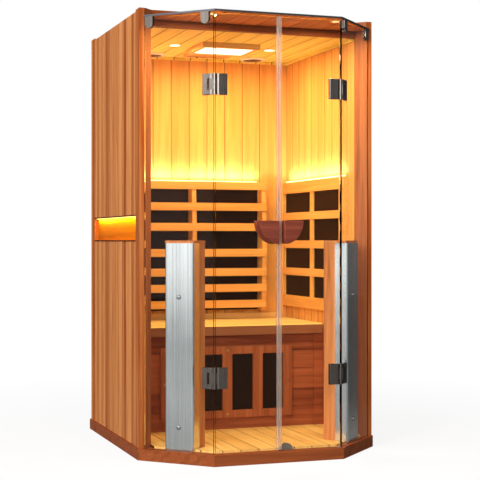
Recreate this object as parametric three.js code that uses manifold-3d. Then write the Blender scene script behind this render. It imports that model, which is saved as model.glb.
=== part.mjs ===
// One-person infrared sauna cabin with a corner-cut glass front, as a three.js scene graph.
// Millimetres, +Z up, origin at the middle of the plinth's underside, the doors face -Y.
import * as THREE from "three";
import { mergeVertices } from "three/addons/utils/BufferGeometryUtils.js";
import Module from "manifold-3d";

const wasm = await Module();
wasm.setup();

// Driving dimensions
const fit = 0.3;
const overcut = 1;
const plinth = { width: 1116, depth: 1224, chamfer: 262, height: 50 };
const cabinHeight = 1956;
const wall = { inset: 6.5, cladding: 23, gap: 3, lining: 37, back: 40 };
const post = { front: 63, back: 74, proud: 3, rise: 6 };
const groove = { width: 5, depth: 3 };
const boards = { cladding: 9, lining: 10, back: 11, ceiling: 11, floor: 12, seat: 5, canopy: 14 };
const niche = { low: 945, tall: 117 };
const floor = { thickness: 9, setback: 42 };
const jambDepth = 60;
const beam = { behind: 1, thickness: 35, lip: 1 };
const ceiling = { drop: 70, thickness: 20, cornice: 13 };
const roof = { thickness: 10 };
const canopy = { setback: 12, drop: 42, thickness: 8 };
const trim = { thickness: 4, lip: 0.5 };
const glass = { setback: 18, thickness: 8, cornerGap: 4, wallGap: 5 };
const fixedGlass = { canopyGap: 6 };
const doorGlass = { sillGap: 4, canopyGap: 8 };
const hinge = { rise: 319, drop: 349, width: 55, tall: 90, plate: 5, bevel: 2, slope: 6, setback: 10 };
const hingePin = { barrel: 7.5, radius: 4 };
const hingeTongue = { reach: 22, half: 9, notch: 31 };
const hingeKnuckle = { tall: 48, web: 26 };
const seal = { width: 11, thickness: 10, split: 2 };
const handle = { across: 87, tall: 100, thickness: 20, standoff: 17, top: 1034, inset: 13, bevel: 3 };
const peg = { radius: 7, across: 28, drop: 22, spread: 40 };
const doorStop = { radius: 29, tall: 30, thickness: 12, behind: 2, across: 38 };
const clip = { width: 38, tall: 50, plate: 5, wallEnd: 4, doorEnd: 24 };
const tower = { width: 140, depth: 112, behind: 8, wood: 18, top: 938, cap: 11, capSetback: 7, footGap: 2 };
const towerCover = { sheet: 1.5, wrap: 58, bend: 12 };
const bendSteps = 6;
const towerWindow = { side: 24, low: 70, high: 60 };
const towerHeaterDrop = 18;
const heaterSheet = 10;
const bench = { depth: 577.5, top: 544, thickness: 42, panel: 20, lip: 18, sideGap: 2 };
const benchCorner = { across: 36, deep: 100 };
const benchPost = { edgeGap: 31.5, width: 46, proud: 6 };
const benchHeater = { overlap: 24, sunk: 2 };
const benchLineShares = [0.2, 0.395, 0.623, 0.82];
const benchFrame = { leftGap: 126.5, rightGap: 194.5, floorGap: 54, seatGap: 54 };
const benchFrameWood = { stile: 44, rail: 35, divider: 48, thickness: 14 };
const benchFrameOpenings = 4;
const backrest = { leftGap: 55.5, rightGap: 145.5, rib: 22, depth: 62, bulge: 18, seatGap: 46, tall: 655 };
const slat = { thickness: 18, tall: 39 };
const slatShares = [0.05, 0.176, 0.301, 0.452, 0.653, 0.811, 0.977];
const ribSteps = 10;
const sideFrame = { frontGap: 63, backGap: 2, depth: 22, stileDepth: 18, heaterEdge: 12 };
const railsOverSeat = [[64, 121], [226, 264], [366, 405], [511, 549], [649, 706]];
const sideStile = { front: 70, middle: 40, back: 18, middleShare: 0.515 };
const lamp = { width: 288, backGap: 287.5, depth: 250, tall: 24, board: 20, panel: 6, lift: 4 };
const vent = { width: 230, backGap: 115.5, depth: 62, tall: 14, rim: 10, lip: 2.5, slot: 6, holeLip: 4 };
const ventSlider = { thickness: 4.6, knob: 10, knobTall: 8 };
const speaker = { radius: 65, tall: 14, sideGap: 221.5, backGap: 83.5 };
const speakerCone = { radius: 32, rise: 2, gutter: 7 };
const speakerRim = { width: 9, tall: 8.4, edge: 4.2 };
const controlBox = { width: 300, depth: 200, roofGap: 8, backGap: 217.5 };
const gland = { radius: 9, length: 24, across: -90 };
const roundSegments = 32;

// Places that follow from the driving dimensions
const frontY = -plinth.depth / 2;
const wallOuterX = plinth.width / 2 - wall.inset;
const claddingInnerX = wallOuterX - wall.cladding;
const liningOuterX = claddingInnerX - wall.gap;
const liningInnerX = liningOuterX - wall.lining;
const wallFrontY = frontY + plinth.chamfer;
const wallBackY = plinth.depth / 2 - wall.inset;
const backInnerY = wallBackY - wall.back;
const jambBackY = wallFrontY + jambDepth;
const floorTop = plinth.height + floor.thickness;
const facetHalf = plinth.width / 2 - plinth.chamfer;
const beamFrontY = wallFrontY + wall.lining + beam.behind;
const beamBackY = beamFrontY + beam.thickness;
const diagonal = Math.SQRT1_2;
const ceilingHeight = cabinHeight - ceiling.drop;
const ceilingTop = ceilingHeight + ceiling.thickness;
const roofUnder = cabinHeight - roof.thickness;
const canopyUnder = cabinHeight - canopy.drop;
const canopyTop = canopyUnder + canopy.thickness;
const fixedGlassTop = canopyUnder - fixedGlass.canopyGap;
const hingeHeights = [plinth.height + hinge.rise, cabinHeight - hinge.drop];

// Materials
const finish = (color, roughness, metalness = 0) =>
  new THREE.MeshStandardMaterial({ color, roughness, metalness });
const cedar = finish(0xc8895c, 0.55);
const redCedar = finish(0x8c4b2a, 0.5);
const warmWood = finish(0xe0a04a, 0.5);
const handleWood = finish(0x823f34, 0.4);
const steel = finish(0xbec3c6, 0.35, 1);
const greyMetal = finish(0x7d8088, 0.35, 1);
const clearGlass = new THREE.MeshStandardMaterial({
  color: 0xdfe9e4,
  roughness: 0.05,
  transparent: true,
  opacity: 0.3,
});
const heaterBlack = finish(0x2d1c10, 0.6);
const lampWhite = finish(0xfff2c8, 0.4);
const blackPlastic = finish(0x303030, 0.5);

// Geometry and boolean helpers
function solidOf(geometry) {
  const bare = geometry.clone();
  bare.deleteAttribute("normal");
  bare.deleteAttribute("uv");
  const merged = mergeVertices(bare, 1e-4);
  return new wasm.Manifold(
    new wasm.Mesh({
      numProp: 3,
      vertProperties: merged.attributes.position.array,
      triVerts: new Uint32Array(merged.index.array),
    }),
  );
}

function geometryOf(solid) {
  const mesh = solid.getMesh();
  const geometry = new THREE.BufferGeometry();
  geometry.setAttribute("position", new THREE.BufferAttribute(mesh.vertProperties, 3));
  geometry.setIndex(new THREE.BufferAttribute(mesh.triVerts, 1));
  return geometry;
}

function join(...geometries) {
  return geometryOf(geometries.map(solidOf).reduce((whole, piece) => whole.add(piece)));
}

function cut(geometry, ...tools) {
  const start = solidOf(geometry);
  return geometryOf(tools.map(solidOf).reduce((whole, tool) => whole.subtract(tool), start));
}

function common(first, second) {
  return geometryOf(solidOf(first).intersect(solidOf(second)));
}

function extrude(outline, depth) {
  const shape = new THREE.Shape(outline.map(([a, b]) => new THREE.Vector2(a, b)));
  return new THREE.ExtrudeGeometry(shape, { depth, bevelEnabled: false });
}

// A plan outline of x and y, from one height to another.
function slab(outline, [low, high]) {
  return extrude(outline, high - low).translate(0, 0, low);
}

function block([x0, x1], [y0, y1], z) {
  return slab([[x0, y0], [x1, y0], [x1, y1], [x0, y1]], z);
}

// An outline of x and z, from one y to another.
function alongY(outline, [near, far]) {
  return extrude(outline, far - near).rotateX(Math.PI / 2).translate(0, far, 0);
}

// An outline of y and z, from one x to another.
function alongX(outline, [left, right]) {
  const turn = new THREE.Matrix4().makeBasis(
    new THREE.Vector3(0, 1, 0),
    new THREE.Vector3(0, 0, 1),
    new THREE.Vector3(1, 0, 0),
  );
  return extrude(outline, right - left).applyMatrix4(turn).translate(left, 0, 0);
}

function upright(radius, [low, high], x, y) {
  const rod = new THREE.CylinderGeometry(radius, radius, high - low, roundSegments);
  return rod.rotateX(Math.PI / 2).translate(x, y, (low + high) / 2);
}

// A plate on a face, with its outer edges bevelled and a wider slope on its low x edge.
// y runs from the face outwards, either way.
function bevelPlate([x0, x1], [face, outer], [z0, z1], bevel, slope) {
  const bevelStart = outer - Math.sign(outer - face) * bevel;
  const corners = (y, inset, start) => [
    [x0 + start, y, z0 + inset],
    [x1 - inset, y, z0 + inset],
    [x1 - inset, y, z1 - inset],
    [x0 + start, y, z1 - inset],
  ];
  const points = [...corners(face, 0, 0), ...corners(bevelStart, 0, 0), ...corners(outer, bevel, slope)];
  return geometryOf(wasm.Manifold.hull(points));
}

// Points along a face from start to end, with a V groove at each board joint; sunk is into the face.
function boardFace(start, end, count, face, sunk) {
  const points = [[start, face]];
  const way = Math.sign(end - start);
  for (let joint = 1; joint < count; joint += 1) {
    const middle = start + ((end - start) * joint) / count;
    points.push([middle - (way * groove.width) / 2, face]);
    points.push([middle, face + sunk * groove.depth]);
    points.push([middle + (way * groove.width) / 2, face]);
  }
  points.push([end, face]);
  return points;
}

const inFrom = ([low, high], inset) => [low + inset, high - inset];
const swap = (points) => points.map(([a, b]) => [b, a]);
const mirrored = (points, side) => points.map(([x, y]) => [x * side, y]);

const cabin = new THREE.Group();
cabin.name = "sauna_cabin";

function add(name, geometry, material, parent = cabin) {
  const mesh = new THREE.Mesh(geometry, material);
  mesh.name = name;
  parent.add(mesh);
  return mesh;
}

const sides = [
  { name: "left", side: -1 },
  { name: "right", side: 1 },
];

// The front edges: a line parallel to them lies at a setback from the plinth's own edge.
const setbackY = (setback) => frontY + setback;
const cornerX = (setback) => facetHalf - setback * (Math.SQRT2 - 1);
const jambFace = liningOuterX + wallFrontY - 2 * fit;

// Where a line set back from the chamfered edge meets the jamb's slanted face.
function chamferEnd(setback) {
  const line = facetHalf - setback * Math.SQRT2 - frontY;
  return [(jambFace + line) / 2, (jambFace - line) / 2];
}

// The base: plinth and floor deck
const plinthOutline = [
  [-plinth.width / 2, plinth.depth / 2],
  [-plinth.width / 2, wallFrontY],
  [-facetHalf, frontY],
  [facetHalf, frontY],
  [plinth.width / 2, wallFrontY],
  [plinth.width / 2, plinth.depth / 2],
];
add("base_plinth", slab(plinthOutline, [0, plinth.height]), redCedar);

// The two turned groups that hold what stands along the chamfered edges. In each, y runs into the cabin
// from the plinth's edge, and x runs along it, from the door end to the wall end on the right.
const hingeX = cornerX(glass.setback);
const edge = { x: facetHalf + plinth.chamfer / 2, y: frontY + plinth.chamfer / 2 };
const hingeAlong = (hingeX - edge.x + setbackY(glass.setback) - edge.y) * diagonal;
const claddingAlong = (claddingInnerX - edge.x + wallFrontY - edge.y) * diagonal;
const fronts = sides.map(({ name, side }) => {
  const group = new THREE.Group();
  group.position.set(side * edge.x, edge.y, 0);
  group.rotation.z = (side * Math.PI) / 4;
  cabin.add(group);
  return { name, side, group };
});

const towerFront = glass.setback + glass.thickness / 2 + tower.behind;
const towerBack = towerFront + tower.depth;

function towerFootprint({ side }) {
  const grown = block(
    [-tower.width / 2 - tower.footGap, tower.width / 2 + tower.footGap],
    [towerFront - tower.footGap, towerBack + tower.footGap],
    [0, floorTop + fit],
  );
  return grown.rotateZ((side * Math.PI) / 4).translate(side * edge.x, edge.y, 0);
}

const floorCornerY = liningInnerX - facetHalf + floor.setback * Math.SQRT2 + frontY;
const floorOutline = [
  [-liningInnerX, backInnerY],
  [-liningInnerX, floorCornerY],
  [-cornerX(floor.setback), setbackY(floor.setback)],
  [cornerX(floor.setback), setbackY(floor.setback)],
  [liningInnerX, floorCornerY],
  [liningInnerX, backInnerY],
];
const floorBoards = alongY(
  [
    ...boardFace(-liningInnerX, liningInnerX, boards.floor, floorTop, -1),
    [liningInnerX, plinth.height],
    [-liningInnerX, plinth.height],
  ],
  [setbackY(floor.setback), backInnerY],
);
const floorDeck = common(floorBoards, slab(floorOutline, [plinth.height, floorTop]));
add("floor_deck", cut(floorDeck, ...fronts.map(towerFootprint)), warmWood);

// The side walls: cladding with its posts and niche, lining, and the slant-faced jamb at the front
const wallRise = [plinth.height, cabinHeight];
const boardsFrontY = wallFrontY + post.front;
const boardsBackY = wallBackY - post.back;

function claddingGeometry(side) {
  const outline = [
    [claddingInnerX, wallFrontY],
    [wallOuterX, wallFrontY],
    [wallOuterX, boardsFrontY],
    ...swap(boardFace(boardsFrontY, boardsBackY, boards.cladding, wallOuterX - post.proud, -1)),
    [wallOuterX, boardsBackY],
    [wallOuterX, wallBackY],
    [claddingInnerX, wallBackY],
  ];
  const panel = slab(mirrored(outline, side), wallRise);
  const across = [side * (claddingInnerX - overcut), side * (wallOuterX + overcut)];
  const along = [boardsFrontY, boardsBackY];
  const nicheHole = block(across, along, [niche.low, niche.low + niche.tall]);
  const boardTops = block(across, along, [cabinHeight - post.rise, cabinHeight + overcut]);
  return cut(panel, nicheHole, boardTops);
}

function liningGeometry(side) {
  const outline = [
    ...swap(boardFace(jambBackY, backInnerY, boards.lining, liningInnerX, 1)),
    [liningOuterX, backInnerY],
    [liningOuterX, jambBackY],
  ];
  return slab(mirrored(outline, side), wallRise);
}

function jambGeometry(side) {
  const outline = [
    [liningOuterX, wallFrontY],
    [liningOuterX, jambBackY],
    [liningInnerX, jambBackY],
    [liningInnerX, wallFrontY + wall.lining],
  ];
  return slab(mirrored(outline, side), wallRise);
}

for (const { name, side } of sides) {
  add(`${name}_wall_cladding`, claddingGeometry(side), cedar);
  add(`${name}_wall_lining`, liningGeometry(side), warmWood);
  add(`${name}_jamb`, jambGeometry(side), cedar);
}

const backOutline = [
  ...boardFace(-claddingInnerX, claddingInnerX, boards.back, backInnerY, 1),
  ...boardFace(claddingInnerX, -claddingInnerX, boards.back, wallBackY, -1),
];
add("back_wall", slab(backOutline, wallRise), cedar);

// The top: beam, ceiling, roof, canopy over the glass and its metal trim
const innerWidth = [-liningInnerX, liningInnerX];
const roomLength = [beamBackY, backInnerY];
const ventBackY = backInnerY - vent.backGap;
const ventFrontY = ventBackY - vent.depth;
const ventHoleEdge = vent.rim + vent.holeLip;
const ventHole = block(
  [vent.holeLip, vent.width / 2 - ventHoleEdge],
  [ventFrontY + ventHoleEdge, ventBackY - ventHoleEdge],
  [ceilingHeight - vent.tall - overcut, cabinHeight + overcut],
);
add(
  "front_beam",
  block(innerWidth, [beamFrontY, beamBackY], [ceilingHeight - beam.lip, cabinHeight]),
  redCedar,
);

const ceilingBoards = alongY(
  [
    ...boardFace(-liningInnerX, liningInnerX, boards.ceiling, ceilingHeight, 1),
    [liningInnerX, ceilingTop],
    [-liningInnerX, ceilingTop],
  ],
  roomLength,
);
const corniceRise = [ceilingHeight - ceiling.cornice, ceilingHeight + groove.depth];
const cornices = [
  block(innerWidth, [backInnerY - ceiling.cornice, backInnerY], corniceRise),
  block([-liningInnerX, ceiling.cornice - liningInnerX], roomLength, corniceRise),
  block([liningInnerX - ceiling.cornice, liningInnerX], roomLength, corniceRise),
];
add("ceiling_panel", cut(join(ceilingBoards, ...cornices), ventHole), warmWood);
const roofBoard = block(innerWidth, roomLength, [roofUnder, cabinHeight]);
add("roof_panel", cut(roofBoard, ventHole), redCedar);

function frontEdge(setback) {
  const [endX, endY] = chamferEnd(setback);
  return [
    [-endX, endY],
    [-cornerX(setback), setbackY(setback)],
    [cornerX(setback), setbackY(setback)],
    [endX, endY],
  ];
}

const canopySide = liningInnerX - fit;
const canopyOutline = [
  ...frontEdge(canopy.setback),
  [canopySide, jambFace - canopySide],
  [canopySide, beamFrontY],
  [-canopySide, beamFrontY],
  [-canopySide, jambFace - canopySide],
];
const canopyReach = plinth.width / 2;
const canopyBoards = alongY(
  [
    ...boardFace(-canopyReach, canopyReach, boards.canopy, canopyUnder, 1),
    [canopyReach, canopyTop],
    [-canopyReach, canopyTop],
  ],
  [frontY, beamFrontY],
);
add("canopy_board", common(canopyBoards, slab(canopyOutline, [canopyUnder, canopyTop])), warmWood);
const trimOutline = [
  ...frontEdge(canopy.setback - trim.thickness),
  ...frontEdge(canopy.setback).reverse(),
];
add("canopy_trim", slab(trimOutline, [canopyUnder + fit, canopyTop + trim.lip]), greyMetal);

// The glass front: fixed panes, doors, hinges, seals, clips and the door stop
const glassInner = glass.setback + glass.thickness / 2;
const fixedEnd = claddingAlong - glass.wallGap;
const knuckleHalf = hingeKnuckle.tall / 2;
const hingeHalf = hinge.tall / 2;
const webHalf = glass.thickness / 2 + fit + overcut;

// Both leaves are drawn with the pin at the origin and the glass along +x.
function leafPlates() {
  const across = [hinge.setback, hinge.width];
  const face = glass.thickness / 2 + fit;
  return [
    bevelPlate(across, [-face, -face - hinge.plate], [-hingeHalf, hingeHalf], hinge.bevel, hinge.slope),
    bevelPlate(across, [face, face + hinge.plate], [-hingeHalf, hingeHalf], hinge.bevel, hinge.slope),
  ];
}

function knuckle(rise) {
  const web = block([0, hingeKnuckle.web], [-webHalf, webHalf], rise);
  return [upright(hingePin.barrel, rise, 0, 0), web];
}

// The fixed leaf is notched for the door leaf's tongue, which swings through it.
function fixedLeaf() {
  const upper = [knuckleHalf + fit, hingeHalf];
  const lower = [-hingeHalf, -knuckleHalf - fit];
  const pin = upright(hingePin.radius, [-hingeHalf, hingeHalf], 0, 0);
  const notch = block([0, hingeTongue.notch], [-hinge.width, hinge.width], [lower[1], upper[0]]);
  const plates = leafPlates().map((plate) => cut(plate, notch));
  return join(...plates, ...knuckle(upper), ...knuckle(lower), pin);
}

// The tongue lies along the fixed pane, half a right angle off the door's own line.
function doorLeaf(side) {
  const rise = [-knuckleHalf, knuckleHalf];
  const bore = upright(hingePin.radius + fit, [-hingeHalf, hingeHalf], 0, 0);
  const tongue = block([0, hingeTongue.reach], [-hingeTongue.half, hingeTongue.half], rise);
  tongue.rotateZ((-side * 3 * Math.PI) / 4);
  return cut(join(...leafPlates(), ...knuckle(rise), tongue), bore);
}

// Notches in a pane's hinge edge that the knuckles' webs pass through.
function hingeNotches() {
  const reach = hingeKnuckle.web + fit;
  const half = hingeHalf + fit;
  return hingeHeights.map((height) =>
    block([-reach, reach], [-glass.thickness, glass.thickness], [height - half, height + half]),
  );
}

function pane(start, end, rise) {
  const half = glass.thickness / 2;
  return cut(block([start, end], [-half, half], rise), ...hingeNotches());
}

const hingeNames = ["lower", "upper"];
for (const { name, side, group } of fronts) {
  const pinPlace = new THREE.Group();
  pinPlace.position.set(side * hingeAlong, glass.setback, 0);
  pinPlace.rotation.z = side > 0 ? 0 : Math.PI;
  group.add(pinPlace);
  const fixedPane = pane(glass.cornerGap, fixedEnd - hingeAlong, [plinth.height, fixedGlassTop]);
  add(`${name}_fixed_glass`, fixedPane, clearGlass, pinPlace);
  const doorPlace = new THREE.Group();
  doorPlace.position.set(side * hingeX, setbackY(glass.setback), 0);
  doorPlace.rotation.z = side > 0 ? Math.PI : 0;
  cabin.add(doorPlace);
  const doorEnd = hingeX - seal.split / 2 - seal.width;
  const doorRise = [plinth.height + doorGlass.sillGap, canopyUnder - doorGlass.canopyGap];
  add(`${name}_door_glass`, pane(glass.cornerGap, doorEnd, doorRise), clearGlass, doorPlace);
  const sealStrip = block(
    [doorEnd + fit, doorEnd + seal.width],
    [-seal.thickness / 2, seal.thickness / 2],
    doorRise,
  );
  add(`${name}_door_seal`, sealStrip, clearGlass, doorPlace);
  hingeHeights.forEach((height, row) => {
    const hingeName = `${name}_${hingeNames[row]}_hinge`;
    add(`${hingeName}_fixed_leaf`, fixedLeaf(), steel, pinPlace).position.z = height;
    add(`${hingeName}_door_leaf`, doorLeaf(side), steel, doorPlace).position.z = height;
  });
}

// A clip hangs from the canopy and holds the top edge of a fixed pane between two D-shaped plates.
function clipGeometry() {
  const radius = clip.width / 2;
  const drop = clip.tall - radius;
  const outline = [[radius, 0], [-radius, 0]];
  for (let step = 0; step <= roundSegments / 2; step += 1) {
    const angle = Math.PI + (2 * Math.PI * step) / roundSegments;
    outline.push([radius * Math.cos(angle), radius * Math.sin(angle) - drop]);
  }
  const face = glass.thickness / 2 + fit;
  const bridge = block(
    [-radius, radius],
    [-face - clip.plate, face + clip.plate],
    [fixedGlassTop + fit - canopyUnder, 0],
  );
  const plates = [alongY(outline, [-face - clip.plate, -face]), alongY(outline, [face, face + clip.plate])];
  return join(...plates, bridge);
}

const clipPlaces = [
  { end: "door", along: hingeAlong + clip.doorEnd + clip.width / 2 },
  { end: "wall", along: fixedEnd - clip.wallEnd - clip.width / 2 },
];
for (const { name, side, group } of fronts)
  for (const { end, along } of clipPlaces)
    add(`${name}_clip_${end}_end`, clipGeometry(), steel, group).position.set(
      side * along,
      glass.setback,
      canopyUnder,
    );

const stopOutline = [];
for (let step = 0; step <= roundSegments / 2; step += 1) {
  const angle = (2 * Math.PI * step) / roundSegments;
  stopOutline.push([
    doorStop.across + doorStop.radius * Math.cos(angle),
    plinth.height + doorStop.tall * Math.sin(angle),
  ]);
}
const stopFront = setbackY(glassInner + doorStop.behind);
add("door_stop", alongY(stopOutline, [stopFront, stopFront + doorStop.thickness]), greyMetal);

// The handles: a quarter disc on each face of each door, on two pegs
function handleGeometry(side, inward) {
  const points = [[handle.inset, handle.top]];
  for (let step = 0; step <= roundSegments / 4; step += 1) {
    const angle = (2 * Math.PI * step) / roundSegments;
    points.push([
      handle.inset + handle.across * Math.cos(angle),
      handle.top - handle.tall * Math.sin(angle),
    ]);
  }
  const shape = new THREE.Shape(mirrored(points, side).map(([x, z]) => new THREE.Vector2(x, z)));
  const disc = new THREE.ExtrudeGeometry(shape, {
    depth: handle.thickness - 2 * handle.bevel,
    bevelThickness: handle.bevel,
    bevelSize: handle.bevel,
    bevelOffset: -handle.bevel,
    bevelSegments: 2,
  });
  const face = setbackY(glass.setback) + inward * (glass.thickness / 2 + fit);
  const near = face + inward * (handle.standoff - fit);
  const middle = near + (inward * handle.thickness) / 2;
  disc.translate(0, 0, handle.bevel - handle.thickness / 2).rotateX(Math.PI / 2).translate(0, middle, 0);
  const pegSpan = [face, middle].sort((a, b) => a - b);
  const pegs = [peg.drop, peg.drop + peg.spread].map((drop) => {
    const rod = upright(peg.radius, pegSpan, 0, 0).rotateX(-Math.PI / 2);
    return rod.translate(side * (handle.inset + peg.across), 0, handle.top - drop);
  });
  return join(disc, ...pegs);
}
for (const { name, side } of sides) {
  add(`${name}_outer_handle`, handleGeometry(side, -1), handleWood);
  add(`${name}_inner_handle`, handleGeometry(side, 1), handleWood);
}

// The heater towers behind the fixed panes: bent steel cover, wooden body, heater
const towerHalf = tower.width / 2;
const towerInside = towerHalf - towerCover.sheet - fit;

// A plan outline with its two front corners rounded.
function roundFronted(half, [front, back], radius) {
  const points = [[half, back], [-half, back]];
  const quarter = Math.PI / 2;
  for (const [centre, start] of [[radius - half, Math.PI], [half - radius, Math.PI + quarter]])
    for (let step = 0; step <= bendSteps; step += 1) {
      const angle = start + (quarter * step) / bendSteps;
      points.push([centre + radius * Math.cos(angle), front + radius + radius * Math.sin(angle)]);
    }
  return points;
}

function towerCoverGeometry() {
  const rise = [plinth.height, tower.top - fit];
  const outer = roundFronted(towerHalf, [towerFront, towerFront + towerCover.wrap], towerCover.bend);
  const inner = roundFronted(
    towerHalf - towerCover.sheet,
    [towerFront + towerCover.sheet, towerFront + towerCover.wrap + overcut],
    towerCover.bend - towerCover.sheet,
  );
  return cut(slab(outer, rise), slab(inner, inFrom(rise, -overcut)));
}

const towerRoom = towerInside - tower.wood;
const towerRoomBack = towerBack - tower.wood;

function towerBodyGeometry() {
  const bodyFront = towerFront + towerCover.sheet + fit;
  const bodyRise = [plinth.height, tower.top + overcut];
  const bodyBend = towerCover.bend - towerCover.sheet - fit;
  const body = slab(roundFronted(towerInside, [bodyFront, towerBack], bodyBend), bodyRise);
  const cap = block(
    [-towerHalf, towerHalf],
    [towerFront + tower.capSetback, towerBack],
    [tower.top, tower.top + tower.cap],
  );
  const room = block([-towerRoom, towerRoom], [0, towerRoomBack], [plinth.height + tower.wood, tower.top]);
  const halfWindow = towerHalf - towerWindow.side;
  const window = block(
    [-halfWindow, halfWindow],
    [0, towerBack + overcut],
    [plinth.height + towerWindow.low, tower.top - towerWindow.high],
  );
  return join(cut(body, room, window), cap);
}

function towerHeaterGeometry() {
  return block(
    [fit - towerRoom, towerRoom - fit],
    [towerRoomBack - fit - heaterSheet, towerRoomBack - fit],
    [plinth.height + tower.wood + fit, tower.top - towerHeaterDrop],
  );
}

for (const { name, group } of fronts) {
  add(`${name}_tower_cover`, towerCoverGeometry(), steel, group);
  add(`${name}_tower_body`, towerBodyGeometry(), cedar, group);
  add(`${name}_tower_heater`, towerHeaterGeometry(), heaterBlack, group);
}

// The backrest: slats on three curved ribs, with the heater between the outer ribs
const backrestLow = bench.top + backrest.seatGap;
const backrestHigh = backrestLow + backrest.tall;
const backrestSpan = [backrest.leftGap - liningInnerX, liningInnerX - backrest.rightGap];
const slatFront = (share) =>
  backInnerY - backrest.depth - slat.thickness - backrest.bulge * Math.sin(Math.PI * share);
const ribOutline = [];
for (let step = 0; step <= ribSteps; step += 1) {
  const share = step / ribSteps;
  ribOutline.push([slatFront(share) + slat.thickness / 2, backrestLow + backrest.tall * share]);
}
ribOutline.push([backInnerY, backrestHigh], [backInnerY, backrestLow]);
const ribMiddle = (backrestSpan[0] + backrestSpan[1] - backrest.rib) / 2;
const ribs = [backrestSpan[0], ribMiddle, backrestSpan[1] - backrest.rib].map((left) =>
  alongX(ribOutline, [left, left + backrest.rib]),
);
const slats = slatShares.map((share) => {
  const front = slatFront(share);
  const low = backrestLow + backrest.tall * share - slat.tall / 2;
  return block(backrestSpan, [front, front + slat.thickness], [low, low + slat.tall]);
});
const heaterEdge = backrest.rib + fit;
const backHeater = (grow) =>
  block(
    [backrestSpan[0] + heaterEdge - grow / 2, backrestSpan[1] - heaterEdge + grow / 2],
    [backInnerY - heaterSheet - grow, backInnerY + grow],
    [backrestLow - grow, backrestHigh - slat.tall / 2 + grow],
  );
add("backrest", cut(join(...ribs, ...slats), backHeater(fit)), warmWood);
add("back_heater", backHeater(0), heaterBlack);

// The side heater frames: rails on stiles, over a heater that lies on the lining
const sideFrontY = jambBackY + sideFrame.frontGap;
const sideBackY = backInnerY - sideFrame.backGap;
const sideRails = railsOverSeat.map((rail) => rail.map((height) => bench.top + height));
const sideLow = sideRails[0][0];
const sideHigh = sideRails.at(-1)[1];

function sideHeaterGeometry(side, grow) {
  return block(
    [side * (liningInnerX + grow), side * (liningInnerX - heaterSheet - grow)],
    [sideFrontY + sideFrame.heaterEdge - grow, sideBackY - sideFrame.heaterEdge + grow],
    [sideLow + sideFrame.heaterEdge - grow, sideHigh - sideFrame.heaterEdge + grow],
  );
}

function sideFrameGeometry(side) {
  const depth = (size) => [side * liningInnerX, side * (liningInnerX - size)];
  const rails = sideRails.map((rise) => block(depth(sideFrame.depth), [sideFrontY, sideBackY], rise));
  const middle = sideFrontY + (sideBackY - sideFrontY) * sideStile.middleShare;
  const spans = [
    [sideFrontY, sideFrontY + sideStile.front],
    [middle - sideStile.middle / 2, middle + sideStile.middle / 2],
    [sideBackY - sideStile.back, sideBackY],
  ];
  const stiles = spans.map((span) => block(depth(sideFrame.stileDepth), span, [sideLow, sideHigh]));
  return cut(join(...rails, ...stiles), sideHeaterGeometry(side, fit));
}

for (const { name, side } of sides) {
  add(`${name}_heater_frame`, sideFrameGeometry(side), warmWood);
  add(`${name}_side_heater`, sideHeaterGeometry(side, 0), heaterBlack);
}

// The bench: seat, front panel, and a framed heater in the panel's window
const benchHalf = liningInnerX - bench.sideGap;
const benchFrontY = backInnerY - bench.depth;
const seatUnder = bench.top - bench.thickness;
const seatOutline = [
  [benchCorner.across - benchHalf, benchFrontY],
  [benchHalf - benchCorner.across, benchFrontY],
  [benchHalf, benchFrontY + benchCorner.deep],
  [benchHalf, backInnerY],
  [-benchHalf, backInnerY],
  [-benchHalf, benchFrontY + benchCorner.deep],
];
const seatBoards = alongX(
  [
    ...boardFace(benchFrontY, backInnerY, boards.seat, bench.top, -1),
    [backInnerY, seatUnder],
    [benchFrontY, seatUnder],
  ],
  [-benchHalf, benchHalf],
);
add("bench_seat", common(seatBoards, slab(seatOutline, [seatUnder, bench.top])), warmWood);

const panelFrontY = benchFrontY + bench.lip;
const panelBackY = panelFrontY + bench.panel;
const panelFace = [[panelFrontY, floorTop]];
for (const share of benchLineShares) {
  const height = floorTop + (seatUnder - floorTop) * share;
  panelFace.push([panelFrontY, height - groove.width / 2]);
  panelFace.push([panelFrontY + groove.depth, height]);
  panelFace.push([panelFrontY, height + groove.width / 2]);
}
panelFace.push([panelFrontY, seatUnder], [panelBackY, seatUnder], [panelBackY, floorTop]);
const frameAcross = [benchFrame.leftGap - benchHalf, benchHalf - benchFrame.rightGap];
const frameRise = [floorTop + benchFrame.floorGap, seatUnder - benchFrame.seatGap];
const benchHeaterAt = (span, edgeGap) => {
  const inset = benchHeater.overlap + edgeGap;
  return block(inFrom(frameAcross, inset), span, inFrom(frameRise, inset));
};
const postOuter = benchHalf - benchPost.edgeGap;
const benchPosts = [-1, 1].map((side) =>
  block(
    [postOuter - benchPost.width, postOuter].map((across) => side * across).sort((a, b) => a - b),
    [panelFrontY - benchPost.proud, panelFrontY + groove.depth + overcut],
    [floorTop, seatUnder],
  ),
);
const benchPanel = cut(
  alongX(panelFace, [-benchHalf, benchHalf]),
  benchHeaterAt([panelFrontY - overcut, panelBackY + overcut], 0),
);
add("bench_front", join(benchPanel, ...benchPosts), redCedar);
const benchHeaterY = panelFrontY + benchHeater.sunk;
add("bench_heater", benchHeaterAt([benchHeaterY, benchHeaterY + heaterSheet], fit), heaterBlack);

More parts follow.
